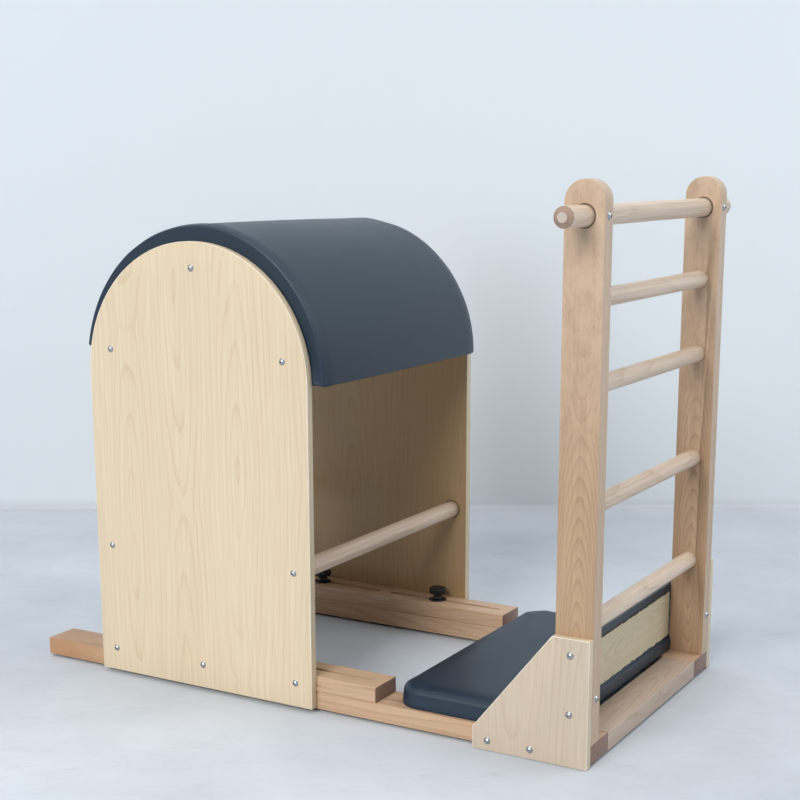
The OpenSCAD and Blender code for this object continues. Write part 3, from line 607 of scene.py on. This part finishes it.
class BARREL_OT_stage(bpy.types.Operator):
    """Sets up the floor, the wall, the lamps, the world and the camera"""

    bl_idname = "barrel.stage"
    bl_label = "Studio"

    def execute(self, context):
        self.add_camera(context)
        self.add_room()
        self.add_lamps(context)
        context.scene.view_settings.view_transform = "Standard"
        return {"FINISHED"}

    def add_camera(self, context):
        """The camera of the photograph."""
        ahead = AWAY * math.cos(PITCH) - Vector((0, 0, math.sin(PITCH)))
        up = RIGHT.cross(ahead)
        right = RIGHT * math.cos(ROLL) + up * math.sin(ROLL)
        up = up * math.cos(ROLL) - RIGHT * math.sin(ROLL)
        data = bpy.data.cameras.new("Camera")
        data.sensor_width = SENSOR
        data.sensor_fit = "HORIZONTAL"
        data.lens = FOCAL / PICTURE * SENSOR
        data.shift_y = (CENTRE - PICTURE / 2) / PICTURE
        data.clip_end = 100.0
        camera = bpy.data.objects.new("Camera", data)
        context.scene.collection.objects.link(camera)
        basis = Matrix((right, up, -ahead)).transposed()
        camera.matrix_world = Matrix.Translation(CAMERA_AT) @ basis.to_4x4()
        context.scene.camera = camera

    def add_room(self):
        """Floor and wall in one sheet, bent softly behind the object."""
        profile = [(SHEET_FRONT, 0.0)]
        steps = 8
        for i in range(steps + 1):
            turn = math.pi / 2 * i / steps
            profile.append((SHEET_BACK - SHEET_BEND * (1 - math.sin(turn)), SHEET_BEND * (1 - math.cos(turn))))
        profile.append((SHEET_BACK, SHEET_TOP))
        bm = bmesh.new()
        left, right = ([bm.verts.new(AWAY * reach + RIGHT * span + Vector((0, 0, height)))
                        for reach, height in profile] for span in (-SHEET_HALF, SHEET_HALF))
        for i in range(len(profile) - 1):
            bm.faces.new((left[i], right[i], right[i + 1], left[i + 1]))
        bmesh.ops.recalc_face_normals(bm, faces=bm.faces)
        bm.faces.ensure_lookup_table()
        if bm.faces[0].normal.z < 0:
            bmesh.ops.reverse_faces(bm, faces=bm.faces)
        put_in_scene("studio", bm, finish("studio"), None)

    def add_lamps(self, context):
        """A soft key from the front, a wide light from above and a weaker one from the right and behind."""
        for name, source, spread, power, tone in (
            ("Key", (-0.02, -1.0, 0.58), 34.0, 2.28, (1.0, 0.98, 0.95)),
            ("Top", (-0.05, 0.25, 1.0), 70.0, 1.78, (1.0, 1.0, 1.0)),
            ("Rim", (1.0, 0.62, 0.75), 50.0, 1.38, (0.98, 0.99, 1.0)),
        ):
            data = bpy.data.lights.new(name, "SUN")
            data.angle = math.radians(spread)
            data.energy = power
            data.color = tone
            lamp = bpy.data.objects.new(name, data)
            lamp.rotation_euler = (-Vector(source)).to_track_quat("-Z", "Y").to_euler()
            context.scene.collection.objects.link(lamp)
        world = bpy.data.worlds.new("Studio")
        context.scene.world = world
        world.use_nodes = True
        self.paint_world(world.node_tree, context.scene.barrel_tones.wall)

    def paint_world(self, tree, wall):
        """A weak sky for the light, and the pale wall for what looks at it straight or in a reflection."""
        web = Web(tree)
        sky = tree.nodes["Background"]
        web.fill(sky, {"Color": (0.95, 0.975, 1.0, 1.0), "Strength": 0.09})
        pale = web.add("Background", inputs={"Color": rgba(wall, 0.9)})
        seen, glossy, through = (web.add("LightPath", output=f"Is {ray} Ray")
                                 for ray in ("Camera", "Glossy", "Transmission"))
        for other in (glossy, through):
            seen = web.maths("MAXIMUM", seen, other)
        web.surface(web.add("MixShader", inputs={0: seen, 1: Term(web, sky.outputs[0]), 2: pale}))


class BARREL_OT_panels(bpy.types.Operator):
    """Makes the two side panels and the gussets, with eased edges"""

    bl_idname = "barrel.panels"
    bl_label = "Side panels and gussets"

    def execute(self, context):
        ease = context.scene.barrel_sizes.board_ease
        for side in ("near", "far"):
            eased("side_panel_" + side, ease, "panel_" + side, "barrel", least=SHORT_BOARD)
            eased("gusset_" + side, ease * 0.7, "gusset", "base", least=SHORT_BOARD)
        return {"FINISHED"}


class BARREL_OT_timber(bpy.types.Operator):
    """Makes the rails, posts, rungs and bars, with eased edges"""

    bl_idname = "barrel.timber"
    bl_label = "Rails, posts and rungs"

    def execute(self, context):
        ease = context.scene.barrel_sizes.beech_ease
        heights = [sum(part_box("rung_%d" % number), Vector()).z / 2 for number in range(1, 5)] + [BAR_Z]

        def off_holes(point):
            return all(math.hypot(point.x - BAR_X, point.z - height) > HOLE_NEAR for height in heights)

        for side in ("near", "far"):
            low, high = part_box("slotted_rail_" + side)

            def off_slots(point):
                return min(abs(point[axis] - end[axis]) for axis in (0, 1) for end in (low, high)) < 1e-4

            eased("post_" + side, ease, "post", "base", keep=off_holes)
            eased("base_rail_" + side, ease, "rail", "base", least=SHORT_RAIL)
            eased("slotted_rail_" + side, ease, "slide", "barrel", keep=off_slots, least=SHORT_SLIDE)
        eased("end_board", ease * 0.6, "board", "base", least=SHORT_RAIL)
        for node in ("rung_1", "rung_2", "rung_3", "rung_4", "front_dowel", "rear_dowel",
                     "top_batten", "front_batten", "rear_batten"):
            paint_node(node, "round")
        paint_node("top_bar", "bar")
        paint_node("barrel_shell", "shell")
        for node in ("foot_board", "kick_board", "end_board_pegs"):
            paint_node(node, "plywood")
        return {"FINISHED"}


class BARREL_OT_arch_pad(bpy.types.Operator):
    """Makes the crowned leather pad that bends over the arch"""

    bl_idname = "barrel.arch_pad"
    bl_label = "Arch pad"

    def execute(self, context):
        sizes = context.scene.barrel_sizes
        inner = SHELL_HIGH.z - ARCH_Z
        thick = COVER_HIGH.z - ARCH_Z - CROWN - inner
        half = COVER_HIGH.y
        turn = math.radians(170.5)
        run = (inner + thick / 2) * turn
        end_round, flank = 0.004, 0.036
        rise, lift, tilt = 0.0047, 0.0006, 0.0032
        bm = slab((run, 2 * half, thick), end_round, sizes.arch_round, 0.0, sizes.mesh_step, end_round)
        for vertex in bm.verts:
            angle = turn * (vertex.co.x / run + 0.5)
            across = vertex.co.y / half
            swell = rise * math.sin(angle) + lift - tilt * across + CROWN * (1 - across * across)
            over = max(abs(vertex.co.y) - (half - flank), 0.0) / flank
            radius = inner + vertex.co.z * (1 + (swell - sizes.arch_fall * over * over) / thick)
            reach, height = radius * math.cos(angle), radius * math.sin(angle)
            vertex.co = Vector((ARCH_X + reach, vertex.co.y, ARCH_Z + height))
        bmesh.ops.recalc_face_normals(bm, faces=bm.faces)
        piece = put_in_scene("arch_pad", bm, finish("leather"), None)

        def held(point):
            depth = math.hypot(point.x - ARCH_X, point.z - ARCH_Z) - inner
            return unit(1.6 - depth / 0.012)

        stuff(piece, held, sizes.puff)
        subdivide(piece)
        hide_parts("barrel_cover", "barrel_foam")
        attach(piece, "barrel")
        return {"FINISHED"}


class BARREL_OT_foot_pad(bpy.types.Operator):
    """Makes the foot pad that lies on the base rails"""

    bl_idname = "barrel.foot_pad"
    bl_label = "Foot pad"

    def execute(self, context):
        sizes = context.scene.barrel_sizes
        size = FOOT_HIGH - FOOT_LOW
        rise = size.z - CROWN
        front_round, back_round = 0.054, 0.020
        bm = slab((size.x, size.y, rise), front_round, sizes.pad_round, FOOT_EASE, sizes.mesh_step, back_round)
        centre = Vector(((FOOT_LOW.x + FOOT_HIGH.x) / 2, 0, FOOT_LOW.z))
        for vertex in bm.verts:
            u, v = vertex.co.x / size.x * 2, vertex.co.y / size.y * 2
            vertex.co.z += CROWN * max(1 - u * u, 0) * max(1 - v * v, 0) * vertex.co.z / rise
            vertex.co += centre
        piece = put_in_scene("foot_pad", bm, finish("leather"), None)

        def held(point):
            return unit(1.5 - (point.z - FOOT_LOW.z) / 0.010)

        stuff(piece, held, sizes.puff)
        subdivide(piece)
        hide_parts("foot_pad_cover", "foot_pad_foam")
        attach(piece, "base")
        return {"FINISHED"}


class BARREL_OT_kick_pad(bpy.types.Operator):
    """Makes the kick board's pad, whose leather folds over the plywood's back"""

    bl_idname = "barrel.kick_pad"
    bl_label = "Kick pad"

    def execute(self, context):
        sizes = context.scene.barrel_sizes
        size = KICK_HIGH - KICK_LOW
        rise = size.x - CROWN
        corner, fold, fold_top, leather = 0.015, 0.034, 0.018, 0.003
        bm = slab((size.z, size.y, rise), corner, sizes.kick_round, FOOT_EASE, sizes.mesh_step, corner)
        window = [f for f in bm.faces if f.normal.z < -0.9
                  and -size.z / 2 + fold < f.calc_center_median().x < size.z / 2 - fold_top
                  and abs(f.calc_center_median().y) < size.y / 2 - fold]
        inside = {v for f in window for v in f.verts}
        rim = {v for v in inside if any(f not in window for f in v.link_faces)}
        for vertex in rim:
            wave = noise.noise(vertex.co * 90), noise.noise(vertex.co * 70 + Vector((9, 0, 0)))
            vertex.co += Vector((*wave, 0)) * 0.003
        dented = bmesh.ops.extrude_face_region(bm, geom=window)
        bmesh.ops.delete(bm, geom=window, context="FACES")
        for item in dented["geom"]:
            if isinstance(item, bmesh.types.BMVert):
                item.co.z += leather
        for vertex in bm.verts:
            u, v = vertex.co.x / size.z * 2, vertex.co.y / size.y * 2
            lift = CROWN * max(1 - u * u, 0) * max(1 - v * v, 0) * vertex.co.z / rise
            high = KICK_LOW.z + size.z / 2 + vertex.co.x
            vertex.co = Vector((KICK_HIGH.x - vertex.co.z - lift, vertex.co.y, high))
        bmesh.ops.recalc_face_normals(bm, faces=bm.faces)
        piece = put_in_scene("kick_pad", bm, finish("leather"), None)

        def held(point):
            return unit(1.5 - (KICK_HIGH.x - point.x) / 0.010)

        stuff(piece, held, sizes.puff)
        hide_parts("kick_pad_cover", "kick_pad_foam")
        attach(piece, "base")
        self.add_roll()
        return {"FINISHED"}

    def add_roll(self):
        """The gathered leather along the foot of the kick board's back."""
        half = POST_LOW.y - 0.001
        thick, tall, steps = 0.0030, 0.0150, 90
        bm = bmesh.new()
        upright = Matrix.Rotation(math.radians(90), 4, "X")
        ring = bmesh.ops.create_circle(bm, segments=20, radius=1.0, matrix=upright)
        for vertex in ring["verts"]:
            vertex.co = Vector((vertex.co.x * thick, -half, vertex.co.z * tall))
        edges = list(bm.edges)
        for _ in range(steps):
            made = bmesh.ops.extrude_edge_only(bm, edges=edges)["geom"]
            edges = [g for g in made if isinstance(g, bmesh.types.BMEdge)]
            verts = [g for g in made if isinstance(g, bmesh.types.BMVert)]
            bmesh.ops.translate(bm, verts=verts, vec=(0, 2 * half / steps, 0))
        bmesh.ops.holes_fill(bm, edges=bm.edges, sides=0)
        for vertex in bm.verts:
            fuller = 1 + 0.25 * noise.noise(Vector((vertex.co.y * 28, vertex.co.z * 60, 2.0)))
            taller = 1 + 0.1 * noise.noise(Vector((vertex.co.y * 22, 0, 5.0)))
            vertex.co.x = KICK_HIGH.x + 0.0014 + vertex.co.x * fuller
            vertex.co.z = KICK_LOW.z + 0.0165 + vertex.co.z * taller
        bmesh.ops.recalc_face_normals(bm, faces=bm.faces)
        piece = put_in_scene("kick_pad_roll", bm, finish("leather"), 60.0)
        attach(piece, "base")


class BARREL_OT_clamps(bpy.types.Operator):
    """Makes the four lobed clamp knobs with their washers"""

    bl_idname = "barrel.clamps"
    bl_label = "Clamp knobs"

    def execute(self, context):
        for number in range(1, 5):
            self.add_knob(number, *self.room(*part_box("clamp_knob_%d" % number)))
            self.add_washer(number, *self.room(*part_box("clamp_washer_%d" % number)))
            paint_node("clamp_stud_%d" % number, "stud")
        return {"FINISHED"}

    def room(self, low, high):
        """The middle of the foot, the radius and the height of a round piece."""
        centre = (low + high) / 2
        centre.z = low.z
        return centre, (high.x - low.x) / 2, high.z - low.z

    def turned(self, profile, segments, shape):
        """A closed turned shape from rings of radius and height, each point moved by shape."""
        bm = bmesh.new()
        verts = [bm.verts.new((radius, 0, height)) for radius, height in profile]
        edges = [bm.edges.new(pair) for pair in zip(verts, verts[1:])]
        bmesh.ops.spin(bm, geom=verts + edges, cent=(0, 0, 0), axis=(0, 0, 1), angle=2 * math.pi,
                       steps=segments, use_merge=True)
        bmesh.ops.remove_doubles(bm, verts=bm.verts, dist=1e-6)
        for vertex in bm.verts:
            vertex.co = shape(vertex.co)
        bmesh.ops.recalc_face_normals(bm, faces=bm.faces)
        return bm

    def add_knob(self, number, centre, radius, height):
        """A knob with a waisted neck and a head with eight lobes."""
        head = height * 0.42
        lobes, lobe_depth, plain = 8, 0.0022, 0.013
        profile = [(0, 0), (0.0115, 0), (0.0125, 0.001), (0.0108, 0.0030), (0.0098, 0.0065),
                   (0.0104, head - 0.001), (radius - 0.004, head), (radius - 0.001, head + 0.0012),
                   (radius, head + 0.0032), (radius, height - 0.0042), (radius - 0.0012, height - 0.0016),
                   (radius - 0.0045, height - 0.0002), (radius * 0.5, height), (radius * 0.30, height - 0.0006),
                   (0, height - 0.0008)]

        def lobed(point):
            far = math.hypot(point.x, point.y)
            if far < plain or point.z < head - 0.0005:
                return point + centre
            turn = math.atan2(point.y, point.x)
            dip = max(-math.cos(lobes * turn), 0.0) ** 2 * lobe_depth * min((far - plain) / 0.005, 1.0)
            shrink = (far - dip) / far
            return Vector((point.x * shrink, point.y * shrink, point.z)) + centre

        piece = put_in_scene("knob_%d" % number, self.turned(profile, 96, lobed), finish("plastic"), 40.0)
        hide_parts("clamp_knob_%d" % number)
        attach(piece, "knob_%d" % number)

    def add_washer(self, number, centre, radius, height):
        """A washer with a rounded top edge."""
        bore = 0.0044
        profile = [(bore, 0), (radius - 0.0008, 0), (radius, 0.0008), (radius, height - 0.0016),
                   (radius - 0.0012, height - 0.0004), (radius - 0.003, height), (bore, height), (bore, 0)]
        bm = self.turned(profile, 72, lambda point: point + centre)
        piece = put_in_scene("washer_%d" % number, bm, finish("plastic"), 40.0)
        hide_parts("clamp_washer_%d" % number)
        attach(piece, "washer_%d" % number)


class BARREL_OT_fittings(bpy.types.Operator):
    """Gives the screws, inserts and feet their finishes"""

    bl_idname = "barrel.fittings"
    bl_label = "Screws, inserts and feet"

    def execute(self, context):
        for node in ("top_bar_screws", "gusset_screws_near", "gusset_screws_far", "foot_board_screws",
                     "kick_board_screws", "panel_screws_near", "panel_screws_far"):
            paint_node(node, "screw")
        paint_node("rail_inserts", "brass")
        paint_node("feet", "rubber")
        return {"FINISHED"}


class BARREL_PT_sidebar(bpy.types.Panel):
    """Lists the barrel's pieces and settings"""

    bl_label = "Ladder barrel"
    bl_idname = "BARREL_PT_sidebar"
    bl_space_type = "VIEW_3D"
    bl_region_type = "UI"
    bl_category = "Barrel"

    def draw(self, context):
        for group in (context.scene.barrel_sizes, context.scene.barrel_tones):
            box = self.layout.box()
            for key in group.__annotations__:
                box.prop(group, key)
        for operator in OPERATORS:
            self.layout.operator(operator.bl_idname)


OPERATORS = (
    BARREL_OT_stage, BARREL_OT_panels, BARREL_OT_timber, BARREL_OT_arch_pad, BARREL_OT_foot_pad,
    BARREL_OT_kick_pad, BARREL_OT_clamps, BARREL_OT_fittings,
)
CLASSES = (BarrelTones, BarrelSizes) + OPERATORS + (BARREL_PT_sidebar,)


def register():
    for item in CLASSES:
        bpy.utils.register_class(item)
    bpy.types.Scene.barrel_tones = bpy.props.PointerProperty(type=BarrelTones)
    bpy.types.Scene.barrel_sizes = bpy.props.PointerProperty(type=BarrelSizes)


def unregister():
    del bpy.types.Scene.barrel_sizes
    del bpy.types.Scene.barrel_tones
    for item in reversed(CLASSES):
        bpy.utils.unregister_class(item)


def main():
    """Registers the add-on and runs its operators."""
    register()
    for operator in OPERATORS:
        group, name = operator.bl_idname.split(".")
        getattr(getattr(bpy.ops, group), name)()


if __name__ == "__main__":
    main()
